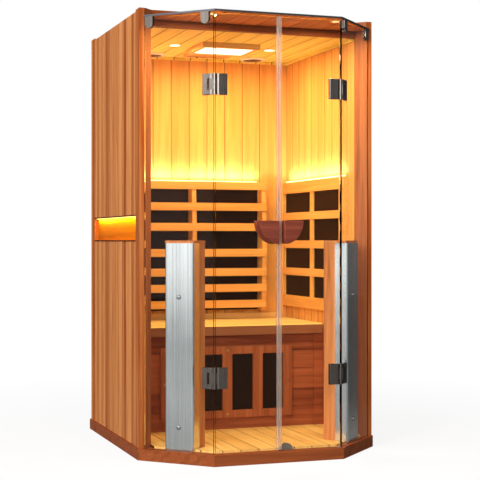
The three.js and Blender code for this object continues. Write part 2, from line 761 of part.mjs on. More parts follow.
const dividers = benchFrameOpenings - 1;
const openArea = inFrom(frameAcross, benchFrameWood.stile);
const openWidth = openArea[1] - openArea[0] - dividers * benchFrameWood.divider;
const openingWidth = openWidth / benchFrameOpenings;
const openingRise = inFrom(frameRise, benchFrameWood.rail);
const frameSpan = [panelFrontY - benchFrameWood.thickness, panelFrontY];
const frameOpenings = Array.from({ length: benchFrameOpenings }, (_, column) => {
  const left = openArea[0] + column * (openingWidth + benchFrameWood.divider);
  return block([left, left + openingWidth], inFrom(frameSpan, -overcut), openingRise);
});
const frameBoard = block(frameAcross, frameSpan, frameRise);
add("bench_heater_frame", cut(frameBoard, ...frameOpenings), redCedar);

// Under the ceiling: lamp frame and panel, vent and its slider, speakers
const lampBackY = backInnerY - lamp.backGap;
const lampFrontY = lampBackY - lamp.depth;
const lampBox = (inset, rise) =>
  block(
    [inset - lamp.width / 2, lamp.width / 2 - inset],
    [lampFrontY + inset, lampBackY - inset],
    rise,
  );
const lampLow = ceilingHeight - lamp.tall;
const lampRing = cut(
  lampBox(0, [lampLow, ceilingHeight]),
  lampBox(lamp.board, [lampLow - overcut, ceilingHeight + overcut]),
);
add("ceiling_light_frame", lampRing, cedar);
const lampPanelRise = [lampLow + lamp.lift, lampLow + lamp.lift + lamp.panel];
add("ceiling_light_panel", lampBox(lamp.board + fit, lampPanelRise), lampWhite);

const ventLow = ceilingHeight - vent.tall;
const ventBox = (inset, rise) =>
  block(
    [vent.rim - vent.width / 2, vent.width / 2 - vent.rim],
    [ventFrontY + inset, ventBackY - inset],
    rise,
  );
const ventAcross = [-vent.width / 2, vent.width / 2];
const ventBoard = block(ventAcross, [ventFrontY, ventBackY], [ventLow, ceilingHeight]);
const ventGroove = ventBox(vent.rim, [ventLow + vent.lip, ventLow + vent.lip + vent.slot]);
const ventMouth = ventBox(ventHoleEdge, [ventLow - overcut, ventLow + vent.lip + overcut]);
add("vent_frame", cut(ventBoard, ventGroove, ventMouth, ventHole), cedar);
const sliderLow = ventLow + vent.lip + fit;
const sliderSpan = inFrom([ventFrontY, ventBackY], vent.rim + fit);
const sliderLeft = vent.rim - vent.width / 2 + fit;
const sliderMiddle = (sliderSpan[0] + sliderSpan[1]) / 2;
const sliderKnobX = sliderLeft / 2;
const sliderPlate = block([sliderLeft, -fit], sliderSpan, [sliderLow, sliderLow + ventSlider.thickness]);
const sliderKnob = upright(
  ventSlider.knob / 2,
  [sliderLow - ventSlider.knobTall, sliderLow + overcut],
  sliderKnobX,
  sliderMiddle,
);
add("vent_slider", join(sliderPlate, sliderKnob), redCedar);

const speakerProfile = [
  [0, -speaker.tall],
  [speakerCone.radius, speakerCone.rise - speaker.tall],
  [speaker.radius - speakerRim.width, -speakerCone.gutter],
  [speaker.radius - speakerRim.width / 2, -speakerRim.tall],
  [speaker.radius, -speakerRim.edge],
  [speaker.radius, 0],
  [0, 0],
].map(([radius, height]) => new THREE.Vector2(radius, height));
const speakerX = liningInnerX - speaker.sideGap;
const speakerY = backInnerY - speaker.backGap;
for (const { name, side } of sides) {
  const dome = new THREE.LatheGeometry(speakerProfile, roundSegments).rotateX(Math.PI / 2);
  dome.translate(side * speakerX, speakerY, ceilingHeight);
  add(`${name}_speaker`, geometryOf(solidOf(dome)), greyMetal);
}

// The control box on top of the ceiling, with the gland its supply cord enters by
const boxBackY = backInnerY - controlBox.backGap;
const boxTop = roofUnder - controlBox.roofGap;
const casing = block(
  [-controlBox.width / 2, controlBox.width / 2],
  [boxBackY - controlBox.depth, boxBackY],
  [ceilingTop, boxTop],
);
const glandRod = new THREE.CylinderGeometry(gland.radius, gland.radius, gland.length, roundSegments);
glandRod.translate(gland.across, boxBackY + gland.length / 2 - overcut, (ceilingTop + boxTop) / 2);
add("control_box", join(casing, glandRod), blackPlastic);

export default cabin;
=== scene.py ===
# Infrared sauna cabin: finishes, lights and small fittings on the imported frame.
import math

import bpy
from mathutils import Matrix, Vector


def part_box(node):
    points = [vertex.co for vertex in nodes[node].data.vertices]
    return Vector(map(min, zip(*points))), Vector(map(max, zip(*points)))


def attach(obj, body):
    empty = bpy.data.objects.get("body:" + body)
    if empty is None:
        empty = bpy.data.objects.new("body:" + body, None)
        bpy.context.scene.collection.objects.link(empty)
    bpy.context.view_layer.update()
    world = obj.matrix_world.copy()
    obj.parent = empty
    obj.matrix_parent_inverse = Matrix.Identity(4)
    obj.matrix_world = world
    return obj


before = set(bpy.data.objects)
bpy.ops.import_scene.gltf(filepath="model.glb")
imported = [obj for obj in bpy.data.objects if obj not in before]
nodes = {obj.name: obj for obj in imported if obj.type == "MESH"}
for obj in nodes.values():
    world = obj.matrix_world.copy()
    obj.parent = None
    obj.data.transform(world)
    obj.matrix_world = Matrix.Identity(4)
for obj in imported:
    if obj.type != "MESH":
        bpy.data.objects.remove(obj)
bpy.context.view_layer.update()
scene = bpy.context.scene
scene.view_settings.view_transform = "Standard"

SIDES = (("left", -1), ("right", 1))
DOWN = (0, 0, -1)
FRONT = (0, -1, 0)
BACK = (0, 1, 0)
HALF = math.sqrt(0.5)


def srgb(red, green, blue):
    """A linear colour from the usual 0 to 255 values."""
    def part(value):
        value /= 255
        return value / 12.92 if value <= 0.04045 else ((value + 0.055) / 1.055) ** 2.4
    return (part(red), part(green), part(blue), 1.0)


def dimmed(colour, share):
    """A colour with its three parts scaled."""
    return tuple(share * part for part in colour[:3]) + (1.0,)


# Camera: level, a little left of the front, at the photograph's distance
CAMERA_PLACE = (-1.9074, -5.567, 0.9513)
CAMERA_TURN = math.radians(-19.2)
CAMERA_LENS = 93.32
SENSOR_WIDTH = 36
camera_data = bpy.data.cameras.new("camera")
camera_data.lens = CAMERA_LENS
camera_data.sensor_width = SENSOR_WIDTH
camera = bpy.data.objects.new("camera", camera_data)
camera.location = CAMERA_PLACE
camera.rotation_euler = (math.pi / 2, 0, CAMERA_TURN)
scene.collection.objects.link(camera)
scene.camera = camera


# Shader helpers
def link(tree, source, target):
    tree.links.new(source, target)


def feed(tree, value, socket):
    """Set a socket to a plain value, or link another node's output to it."""
    if isinstance(value, (int, float, tuple)):
        socket.default_value = value
    else:
        link(tree, value, socket)


def math_node(tree, operation, first, second=None):
    node = tree.nodes.new("ShaderNodeMath")
    node.operation = operation
    feed(tree, first, node.inputs[0])
    if second is not None:
        feed(tree, second, node.inputs[1])
    return node.outputs[0]


def times(tree, first, second):
    return math_node(tree, "MULTIPLY", first, second)


def plus(tree, first, second):
    return math_node(tree, "ADD", first, second)


def minus(tree, first, second):
    return math_node(tree, "SUBTRACT", first, second)


def combine(tree, x, y, z):
    node = tree.nodes.new("ShaderNodeCombineXYZ")
    for socket, value in zip(node.inputs, (x, y, z)):
        feed(tree, value, socket)
    return node.outputs[0]


def along_direction(tree, vector, direction):
    """How far a vector reaches along a direction."""
    node = tree.nodes.new("ShaderNodeVectorMath")
    node.operation = "DOT_PRODUCT"
    node.inputs[1].default_value = direction
    link(tree, vector, node.inputs[0])
    return node.outputs["Value"]


def clamped(tree, value):
    node = tree.nodes.new("ShaderNodeClamp")
    link(tree, value, node.inputs[0])
    return node.outputs[0]


def noise(tree, vector, detail, roughness, distortion=0.0):
    node = tree.nodes.new("ShaderNodeTexNoise")
    node.inputs["Scale"].default_value = 1.0
    node.inputs["Detail"].default_value = detail
    node.inputs["Roughness"].default_value = roughness
    node.inputs["Distortion"].default_value = distortion
    link(tree, vector, node.inputs["Vector"])
    return node.outputs["Fac"]


def mix_colour(tree, factor, first, second, blend="MIX"):
    node = tree.nodes.new("ShaderNodeMix")
    node.data_type = "RGBA"
    node.blend_type = blend
    for name, value in (("Factor_Float", factor), ("A_Color", first), ("B_Color", second)):
        feed(tree, value, next(s for s in node.inputs if s.identifier == name))
    return next(s for s in node.outputs if s.identifier == "Result_Color")


def mix_shader(tree, factor, first, second):
    """Blend two shaders into the material's surface."""
    node = tree.nodes.new("ShaderNodeMixShader")
    for value, socket in zip((factor, first, second), node.inputs):
        link(tree, value, socket)
    link(tree, node.outputs[0], tree.nodes["Material Output"].inputs["Surface"])


def new_material(name):
    material = bpy.data.materials.new(name)
    material.use_nodes = True
    tree = material.node_tree
    return material, tree, tree.nodes["Principled BSDF"]


def object_axes(tree):
    place = tree.nodes.new("ShaderNodeTexCoord").outputs["Object"]
    axes = tree.nodes.new("ShaderNodeSeparateXYZ")
    link(tree, place, axes.inputs[0])
    return axes.outputs


def stretched(tree, axes, scales):
    """A place with each of its axes scaled on its own."""
    return combine(tree, *(times(tree, axis, scale) for axis, scale in zip(axes, scales)))


def even_noise(tree, axes, scale, detail):
    """Noise of one size along every axis."""
    return noise(tree, stretched(tree, axes, (scale, scale, scale)), detail, roughness=0.5)


def bump(tree, shader, height, strength, distance):
    node = tree.nodes.new("ShaderNodeBump")
    node.inputs["Strength"].default_value = strength
    node.inputs["Distance"].default_value = distance
    link(tree, height, node.inputs["Height"])
    link(tree, node.outputs["Normal"], shader.inputs["Normal"])


def paint(material, *names):
    for name in names:
        slots = nodes[name].data.materials
        slots.clear()
        slots.append(material)


# Wood grain group: boards lie along the vector's z, side by side along its x
SEAM_COLOUR = srgb(84, 36, 8)
FIGURE_ACROSS, FIGURE_ALONG = 42.0, 1.6
FIBRE_ACROSS, FIBRE_ALONG = 320.0, 7.0
BOARD_SHIFT = 37.0
FIGURE_SHARE = 1.5
STREAK_SHARE, STREAK_LOW = 0.5, 0.75


def wood_group():
    group = bpy.data.node_groups.new("board_grain", "ShaderNodeTree")
    face = group.interface
    face.new_socket("Vector", in_out="INPUT", socket_type="NodeSocketVector")
    for name in ("Pitch", "Start", "Variety", "Seam"):
        face.new_socket(name, in_out="INPUT", socket_type="NodeSocketFloat")
    for name in ("Dark", "Light"):
        face.new_socket(name, in_out="INPUT", socket_type="NodeSocketColor")
    face.new_socket("Color", in_out="OUTPUT", socket_type="NodeSocketColor")
    face.new_socket("Height", in_out="OUTPUT", socket_type="NodeSocketFloat")
    start = group.nodes.new("NodeGroupInput").outputs
    end = group.nodes.new("NodeGroupOutput").inputs
    axes = group.nodes.new("ShaderNodeSeparateXYZ")
    link(group, start["Vector"], axes.inputs[0])
    across, depth, along = axes.outputs

    # Each board draws a tone and a shift of its grain from its own number
    board = math_node(group, "DIVIDE", minus(group, across, start["Start"]), start["Pitch"])
    share = math_node(group, "FRACT", board)
    chance = group.nodes.new("ShaderNodeTexWhiteNoise")
    chance.noise_dimensions = "1D"
    link(group, math_node(group, "FLOOR", board), chance.inputs["W"])
    draw = chance.outputs["Value"]
    shift = times(group, draw, BOARD_SHIFT)

    def grain(fine, long, detail, roughness, distortion=0.0):
        """Noise that is fine across the board and long along it."""
        reach = plus(group, times(group, along, long), shift)
        place = combine(group, times(group, across, fine), times(group, depth, fine), reach)
        return noise(group, place, detail, roughness, distortion)

    figure = grain(FIGURE_ACROSS, FIGURE_ALONG, detail=5.0, roughness=0.6, distortion=0.5)
    fibre = grain(FIBRE_ACROSS, FIBRE_ALONG, detail=3.0, roughness=0.65)
    spread = times(group, minus(group, draw, 0.5), start["Variety"])
    wave = times(group, minus(group, figure, 0.5), FIGURE_SHARE)
    tone = clamped(group, plus(group, plus(group, spread, wave), 0.5))
    colour = mix_colour(group, tone, start["Dark"], start["Light"])
    streak = plus(group, times(group, fibre, STREAK_SHARE), STREAK_LOW)
    colour = mix_colour(group, 1.0, colour, combine(group, streak, streak, streak), "MULTIPLY")

    # A dark line where two boards meet
    inset = math_node(group, "MINIMUM", share, minus(group, 1.0, share))
    joint = math_node(group, "LESS_THAN", times(group, inset, start["Pitch"]), start["Seam"])
    link(group, mix_colour(group, joint, colour, SEAM_COLOUR), end["Color"])
    link(group, plus(group, fibre, figure), end["Height"])
    return group


WOOD = wood_group()
AXIS = {"x": 0, "y": 1, "z": 2}
WOOD_SHINE = 0.06
WOOD_BUMP, WOOD_RELIEF = 0.25, 0.0008


def wood(name, tones, across, along, pitch, variety, start=0.0, roughness=0.5, seam=0.0):
    """Boards along one axis and side by side along another, each with a tone of its own."""
    material, tree, shader = new_material(name)
    axes = object_axes(tree)
    third = ({"x", "y", "z"} - {across, along}).pop()
    grain = tree.nodes.new("ShaderNodeGroup")
    grain.node_tree = WOOD
    vector = combine(tree, *(axes[AXIS[axis]] for axis in (across, third, along)))
    link(tree, vector, grain.inputs["Vector"])
    grain.inputs["Pitch"].default_value = pitch
    grain.inputs["Start"].default_value = start
    grain.inputs["Variety"].default_value = variety
    grain.inputs["Seam"].default_value = seam
    grain.inputs["Dark"].default_value, grain.inputs["Light"].default_value = tones
    link(tree, grain.outputs["Color"], shader.inputs["Base Color"])
    shader.inputs["Roughness"].default_value = roughness
    shader.inputs["Specular IOR Level"].default_value = WOOD_SHINE
    bump(tree, shader, grain.outputs["Height"], WOOD_BUMP, WOOD_RELIEF)
    return material


def face_share(tree, direction):
    """How far a face of the piece, wherever its body has turned, looks along a direction."""
    geometry = tree.nodes.new("ShaderNodeNewGeometry")
    turn = tree.nodes.new("ShaderNodeVectorTransform")
    turn.vector_type = "NORMAL"
    turn.convert_from = "WORLD"
    turn.convert_to = "OBJECT"
    link(tree, geometry.outputs["True Normal"], turn.inputs[0])
    return along_direction(tree, turn.outputs[0], direction)


def tint_faces(material, direction, tint):
    """Tint the faces of the piece that look along a direction."""
    tree = material.node_tree
    base = tree.nodes["Principled BSDF"].inputs["Base Color"]
    colour = base.links[0].from_socket
    chosen = math_node(tree, "GREATER_THAN", face_share(tree, direction), 0.5)
    link(tree, mix_colour(tree, chosen, colour, mix_colour(tree, 1.0, colour, tint, "MULTIPLY")), base)


# Woods: the dark and the light tone of each
CEDAR = (srgb(152, 72, 28), srgb(224, 150, 88))
RED = (srgb(104, 46, 22), srgb(172, 92, 50))
HONEY = (srgb(202, 132, 54), srgb(230, 170, 88))
PALE = (srgb(204, 144, 66), srgb(242, 200, 120))
# Painted shade: the front beam's tones are darkened for the shade it stands in
SHADE = (srgb(84, 34, 12), srgb(150, 74, 28))
# Painted light: the ceiling's tones are made bright and yellow for the warm light falling on it
CEILING_LIT = (srgb(204, 168, 56), srgb(242, 222, 108))
# Painted light: the canopy boards' tones carry the orange of the light on them
LIT = (srgb(150, 76, 20), srgb(212, 130, 48))
POST = (srgb(124, 62, 30), srgb(192, 116, 68))
SEAT = (srgb(222, 170, 86), srgb(250, 218, 140))
FRAME = (srgb(120, 56, 26), srgb(188, 108, 62))
HANDLE = (srgb(92, 38, 30), srgb(150, 76, 56))
# Partly painted light: the niche back's tones are wood pushed to the amber of the niche strip's light
NICHE = (srgb(196, 88, 4), srgb(240, 136, 10))
TRIM = (srgb(64, 26, 10), srgb(96, 44, 20))
# Painted shade: the seat's front faces are darkened and reddened against its pale top
SEAT_FRONT_SHADING = (0.34, 0.18, 0.2, 1.0)
OUTSIDE_TINT = (0.82, 0.62, 0.72, 1.0)

# Boards of the walls, the ceiling, the floor and the seat
BOARD_SEAM = 0.002
BACK_SEAM = 0.0013
FRONT_POST, BOTH_POSTS = 0.063, 0.137
OUTER_BOARDS, LINING_BOARDS, BACK_BOARDS, CEILING_BOARDS = 9, 10, 11, 11
FLOOR_BOARD = 0.0814
CANOPY_BOARD, CANOPY_START = 0.0797, -0.558
SEAT_BOARD, SEAT_START = 0.1155, -0.012
SLAT_BOARD = 0.09
BENCH_START = 0.06
RAIL_BOARD = 0.12
STILE_BOARD = 0.15
BROAD, WHOLE = 0.3, 0.5

# How much the boards of one piece differ in tone
CALM, MILD, SOFT, MIXED, LIVELY = 0.2, 0.3, 0.35, 0.5, 0.8

wall_low, wall_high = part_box("left_wall_cladding")
outer_pitch = (wall_high.y - wall_low.y - BOTH_POSTS) / OUTER_BOARDS / 2
outer_boards = wood("outer_boards", CEDAR, "y", "z", outer_pitch, LIVELY, wall_low.y + FRONT_POST)
paint(outer_boards, "left_wall_cladding", "right_wall_cladding")
lining_low, lining_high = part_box("left_wall_lining")
lining_pitch = (lining_high.y - lining_low.y) / LINING_BOARDS
inner_boards = wood("inner_boards", HONEY, "y", "z", lining_pitch, SOFT, lining_low.y, seam=BOARD_SEAM)
paint(inner_boards, "left_wall_lining", "right_wall_lining")
back_low, back_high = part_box("back_wall")
back_pitch = (back_high.x - back_low.x) / BACK_BOARDS
back_boards = wood("back_boards", HONEY, "x", "z", back_pitch, SOFT, back_low.x, seam=BACK_SEAM)
tint_faces(back_boards, BACK, OUTSIDE_TINT)
paint(back_boards, "back_wall")
ceiling_low, ceiling_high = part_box("ceiling_panel")
ceiling_pitch = (ceiling_high.x - ceiling_low.x) / CEILING_BOARDS
# The ceiling boards' tone holds painted light
ceiling_boards = wood("ceiling_boards", CEILING_LIT, "x", "y", ceiling_pitch, MILD, ceiling_low.x, seam=BOARD_SEAM)
paint(ceiling_boards, "ceiling_panel")
floor_boards = wood("floor_boards", PALE, "x", "y", FLOOR_BOARD, MILD, ceiling_low.x, seam=BOARD_SEAM)
paint(floor_boards, "floor_deck")
# The canopy boards' tone holds painted light
canopy_boards = wood("canopy_boards", LIT, "x", "y", CANOPY_BOARD, MILD, CANOPY_START, seam=BOARD_SEAM)
paint(canopy_boards, "canopy_board")
seat_wood = wood("seat_wood", SEAT, "y", "x", SEAT_BOARD, MILD, SEAT_START)
# Painted shade on the front faces of the seat
tint_faces(seat_wood, FRONT, SEAT_FRONT_SHADING)
paint(seat_wood, "bench_seat")

# Posts, rails, frames and handles
HANDLE_ROUGHNESS = 0.35
HANDLES = [f"{side}_{place}_handle" for side, _ in SIDES for place in ("outer", "inner")]
paint(wood("post_wood", POST, "y", "z", WHOLE, CALM), "left_jamb", "right_jamb")
paint(wood("slat_wood", HONEY, "z", "x", SLAT_BOARD, MILD), "backrest")
paint(wood("rail_wood", HONEY, "z", "y", RAIL_BOARD, MILD), "left_heater_frame", "right_heater_frame")
paint(wood("bench_wood", RED, "z", "x", SLAT_BOARD, MIXED, BENCH_START), "bench_front", "roof_panel")
# The front beam's tone holds painted shade
paint(wood("beam_wood", SHADE, "z", "x", BROAD, CALM), "front_beam")
paint(wood("plinth_wood", RED, "z", "x", BROAD, CALM), "base_plinth", "vent_slider")
paint(wood("frame_wood", FRAME, "x", "z", STILE_BOARD, MILD), "bench_heater_frame")
paint(wood("tower_wood", CEDAR, "x", "z", WHOLE, CALM), "left_tower_body", "right_tower_body")
paint(wood("lamp_wood", PALE, "y", "x", WHOLE, CALM), "ceiling_light_frame", "vent_frame")
paint(wood("handle_wood", HANDLE, "z", "x", WHOLE, CALM, roughness=HANDLE_ROUGHNESS), *HANDLES)
seat_rail_wood = wood("seat_rail_wood", PALE, "z", "x", BROAD, CALM)
# The niche back's tone is its wood with painted amber light in it
niche_wood = wood("niche_wood", NICHE, "z", "y", BROAD, CALM)
niche_trim = wood("niche_trim", TRIM, "z", "y", BROAD, CALM)

# Metals
BRUSH_FINE, BRUSH_LONG = 900.0, 6.0
BAND_FINE, BAND_LONG = 150.0, 0.7
BAND_CONTRAST = 1.4
DULL_SHARE = 0.5
SMEAR_SCALE = 5.0
LINE_ROUGHNESS, SMEAR_ROUGHNESS = 0.14, 0.16
BRUSH_BUMP, BRUSH_RELIEF = 0.15, 0.0003


def brushed(name, colour, along, roughness):
    """Metal brushed along one axis, with bands of tone along the brushing."""
    material, tree, shader = new_material(name)
    axes = object_axes(tree)
    fine = [BRUSH_LONG if axis == along else BRUSH_FINE for axis in "xyz"]
    wide = [BAND_LONG if axis == along else BAND_FINE for axis in "xyz"]
    lines = noise(tree, stretched(tree, axes, fine), detail=3.0, roughness=0.6)
    smear = even_noise(tree, axes, SMEAR_SCALE, detail=2.0)
    bands = noise(tree, stretched(tree, axes, wide), detail=4.0, roughness=0.6)
    bands = plus(tree, times(tree, minus(tree, bands, 0.5), BAND_CONTRAST), 0.5)
    link(tree, mix_colour(tree, bands, dimmed(colour, DULL_SHARE), colour), shader.inputs["Base Color"])
    shader.inputs["Metallic"].default_value = 1.0
    rough = plus(tree, times(tree, lines, LINE_ROUGHNESS), times(tree, smear, SMEAR_ROUGHNESS))
    smoothest = roughness - (LINE_ROUGHNESS + SMEAR_ROUGHNESS) / 2
    link(tree, plus(tree, rough, smoothest), shader.inputs["Roughness"])
    bump(tree, shader, lines, BRUSH_BUMP, BRUSH_RELIEF)
    return material


RIM_SHARE = 0.72
RIM_COLOUR = srgb(240, 222, 172)
GRILLE_RING = 0.006
GRILLE_BUMP, GRILLE_RELIEF = 0.3, 0.001
GRILLE_DARK, GRILLE_LIGHT = srgb(30, 20, 10), srgb(92, 66, 36)


def speaker_face(name):
    """A bright rim round a dark grille, from the middle of the speaker outwards."""
    material, tree, shader = new_material(f"{name}_face")
    axes = object_axes(tree)
    low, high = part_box(name)
    reach = (high.x - low.x) / 2
    across = math_node(tree, "POWER", minus(tree, axes[0], (low.x + high.x) / 2), 2.0)
    deep = math_node(tree, "POWER", minus(tree, axes[1], (low.y + high.y) / 2), 2.0)
    away = math_node(tree, "SQRT", plus(tree, across, deep))
    rim = math_node(tree, "GREATER_THAN", away, RIM_SHARE * reach)
    rings = math_node(tree, "SINE", times(tree, away, 2 * math.pi / GRILLE_RING))
    rings = plus(tree, times(tree, rings, 0.5), 0.5)
    grille = mix_colour(tree, rings, GRILLE_DARK, GRILLE_LIGHT)
    link(tree, mix_colour(tree, rim, grille, RIM_COLOUR), shader.inputs["Base Color"])
    shader.inputs["Roughness"].default_value = 0.3
    bump(tree, shader, rings, GRILLE_BUMP, GRILLE_RELIEF)
    return material


cover_steel = brushed("cover_steel", srgb(246, 248, 249), "z", roughness=0.17)
hinge_steel = brushed("hinge_steel", srgb(126, 118, 112), "z", roughness=0.28)
grey_metal = brushed("grey_metal", srgb(98, 99, 104), "x", roughness=0.35)
stop_metal = brushed("stop_metal", srgb(176, 162, 146), "x", roughness=0.35)
screw_steel = brushed("screw_steel", srgb(196, 198, 200), "x", roughness=0.22)
screw_brass = brushed("screw_brass", srgb(214, 168, 92), "x", roughness=0.3)
rim_brass = brushed("rim_brass", srgb(226, 206, 170), "x", roughness=0.3)
paint(cover_steel, "left_tower_cover", "right_tower_cover")
for side, _ in SIDES:
    for row in ("lower", "upper"):
        paint(hinge_steel, f"{side}_{row}_hinge_fixed_leaf", f"{side}_{row}_hinge_door_leaf")
    paint(hinge_steel, f"{side}_clip_door_end", f"{side}_clip_wall_end")
    paint(speaker_face(f"{side}_speaker"), f"{side}_speaker")
paint(grey_metal, "canopy_trim")
paint(stop_metal, "door_stop")

# Glass: clear on its faces, dark green on its cut edges, and open to light
GLASS_EDGE, GLASS_FACE = srgb(44, 60, 46), srgb(252, 254, 253)
GLASS_IOR = 1.15


def pane_glass(name, face_normal):
    material, tree, shader = new_material(name)
    facing = math_node(tree, "ABSOLUTE", face_share(tree, face_normal))
    flat = math_node(tree, "GREATER_THAN", facing, 0.5)
    link(tree, mix_colour(tree, flat, GLASS_EDGE, GLASS_FACE), shader.inputs["Base Color"])
    shader.inputs["Roughness"].default_value = 0.0
    shader.inputs["IOR"].default_value = GLASS_IOR
    shader.inputs["Transmission Weight"].default_value = 1.0
    clear = tree.nodes.new("ShaderNodeBsdfTransparent")
    rays = tree.nodes.new("ShaderNodeLightPath")
    passing = math_node(tree, "MAXIMUM", rays.outputs["Is Shadow Ray"], rays.outputs["Is Diffuse Ray"])
    mix_shader(tree, passing, shader.outputs[0], clear.outputs[0])
    return material


paint(pane_glass("door_glass", BACK), "left_door_glass", "right_door_glass")
for side, sign in SIDES:
    paint(pane_glass(f"{side}_pane_glass", (HALF * sign, -HALF, 0)), f"{side}_fixed_glass")

# Clear plastic of the door seals
SEAL_DARK, SEAL_LIGHT = srgb(238, 218, 200), srgb(250, 240, 230)
SEAL_RIPPLE = (1.0, 1.0, 3.0)
SEAL_CLEAR = 0.82


def seal_plastic():
    material, tree, shader = new_material("seal_plastic")
    ripple = noise(tree, stretched(tree, object_axes(tree), SEAL_RIPPLE), detail=2.0, roughness=0.5)
    link(tree, mix_colour(tree, ripple, SEAL_DARK, SEAL_LIGHT), shader.inputs["Base Color"])
    shader.inputs["Roughness"].default_value = 0.12
    shader.inputs["Specular IOR Level"].default_value = 0.2
    shader.inputs["Transmission Weight"].default_value = SEAL_CLEAR
    return material


paint(seal_plastic(), "left_door_seal", "right_door_seal")

# Heater panels: dark woven sheet
SHEET_DARK, SHEET_LIGHT = srgb(14, 6, 2), srgb(44, 22, 6)
WEAVE_SCALE, WEAVE_SHARE = 700.0, 0.4
CLOUD_SCALE, CLOUD_SHARE = 6.0, 0.6
WEAVE_BUMP, WEAVE_RELIEF = 0.2, 0.0004
HEATERS = ["back_heater", "bench_heater"]
HEATERS += [f"{side}_{place}_heater" for side, _ in SIDES for place in ("side", "tower")]


def heater_sheet():
    material, tree, shader = new_material("heater_sheet")
    axes = object_axes(tree)
    weave = even_noise(tree, axes, WEAVE_SCALE, detail=1.0)
    cloud = even_noise(tree, axes, CLOUD_SCALE, detail=3.0)
    tone = plus(tree, times(tree, weave, WEAVE_SHARE), times(tree, cloud, CLOUD_SHARE))
    link(tree, mix_colour(tree, tone, SHEET_DARK, SHEET_LIGHT), shader.inputs["Base Color"])
    shader.inputs["Roughness"].default_value = 0.5
    shader.inputs["Specular IOR Level"].default_value = 0.08
    bump(tree, shader, weave, WEAVE_BUMP, WEAVE_RELIEF)
    return material


paint(heater_sheet(), *HEATERS)

# Dark plastic of the control box
CASING_DARK, CASING_LIGHT = srgb(34, 34, 35), srgb(52, 52, 54)
CASING_GRAIN = 900.0


def casing_plastic():
    material, tree, shader = new_material("casing_plastic")
    grain = even_noise(tree, object_axes(tree), CASING_GRAIN, detail=2.0)
    link(tree, mix_colour(tree, grain, CASING_DARK, CASING_LIGHT), shader.inputs["Base Color"])
    shader.inputs["Roughness"].default_value = 0.55
    return material


paint(casing_plastic(), "control_box")

# Lit surfaces
GLOW_CLOUD = 30.0
GLOW_LOW = 0.92


def glow(name, colour, strength):
    material, tree, shader = new_material(name)
    cloud = even_noise(tree, object_axes(tree), GLOW_CLOUD, detail=2.0)
    tint = mix_colour(tree, cloud, dimmed(colour, GLOW_LOW), colour)
    link(tree, tint, shader.inputs["Base Color"])
    link(tree, tint, shader.inputs["Emission Color"])
    shader.inputs["Emission Strength"].default_value = strength
    shader.inputs["Roughness"].default_value = 0.4
    return material


lamp_glow = glow("lamp_glow", srgb(255, 248, 226), strength=1.1)
canopy_glow = glow("canopy_glow", srgb(255, 222, 160), strength=0.8)
strip_glow = glow("strip_glow", srgb(255, 236, 160), strength=2.0)
niche_glow = glow("niche_glow", srgb(255, 236, 120), strength=2.0)
paint(lamp_glow, "ceiling_light_panel")


# Small fittings: each is modelled once, at the origin or on the left, and copied to its other places
ROUND_SIDES = 32
BEVEL_STEPS = 2
SMOOTH_ANGLE = math.radians(40)
FACES_UP = 0.9


def apply_bevel(piece, width):
    edge = piece.modifiers.new("edge", "BEVEL")
    edge.width = width
    edge.segments = BEVEL_STEPS
    edge.limit_method = "ANGLE"
    bpy.ops.object.modifier_apply(modifier="edge")
    bpy.ops.object.shade_smooth_by_angle(angle=SMOOTH_ANGLE)


def dress(piece, name, material, body="cabin"):
    piece.name = name
    piece.data.name = name
    piece.data.materials.clear()
    piece.data.materials.append(material)
    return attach(piece, body)


def copy_of(piece, move):
    twin = piece.copy()
    twin.parent = None
    twin.data = piece.data.copy()
    twin.data.transform(move)
    scene.collection.objects.link(twin)
    return twin


def strip(name, low, high, bevel, material):
    """A straight strip between two corners, with its edges rounded."""
    low, high = Vector(low), Vector(high)
    bpy.ops.object.select_all(action="DESELECT")
    bpy.ops.mesh.primitive_cube_add(size=1, location=(low + high) / 2)
    piece = bpy.context.object
    piece.scale = high - low
    bpy.ops.object.transform_apply(location=True, rotation=True, scale=True)
    apply_bevel(piece, bevel)
    return dress(piece, name, material)


def strip_pair(name, x, y, z, bevel, material):
    """A strip on the left side and its copy on the right; x is counted out from the middle."""
    left = strip(f"left_{name}", (-x[1], y[0], z[0]), (-x[0], y[1], z[1]), bevel, material)
    right = copy_of(left, Matrix.Translation((x[0] + x[1], 0, 0)))
    dress(right, f"right_{name}", material)


def round_blank(radius, depth, inset, sink, bevel):
    """A round fitting that stands on z = 0 and faces up, with its top inset and pushed in."""
    bpy.ops.object.select_all(action="DESELECT")
    middle = (0, 0, depth / 2)
    bpy.ops.mesh.primitive_cylinder_add(vertices=ROUND_SIDES, radius=radius, depth=depth, location=middle)
    piece = bpy.context.object
    bpy.ops.object.transform_apply(location=True, rotation=True, scale=True)
    for face in piece.data.polygons:
        face.select = face.normal.z > FACES_UP
    bpy.ops.object.mode_set(mode="EDIT")
    bpy.ops.mesh.select_mode(type="FACE")
    bpy.ops.mesh.inset(thickness=inset, depth=-sink)
    bpy.ops.object.mode_set(mode="OBJECT")
    apply_bevel(piece, bevel)
    return piece


def set_round(blank, places, material):
    """Copies a round blank to each named centre and facing, and takes the blank away."""
    for name, centre, normal in places:
        turn = Vector(normal).to_track_quat("Z", "Y").to_matrix().to_4x4()
        dress(copy_of(blank, Matrix.Translation(centre) @ turn), name, material)
    bpy.data.objects.remove(blank)


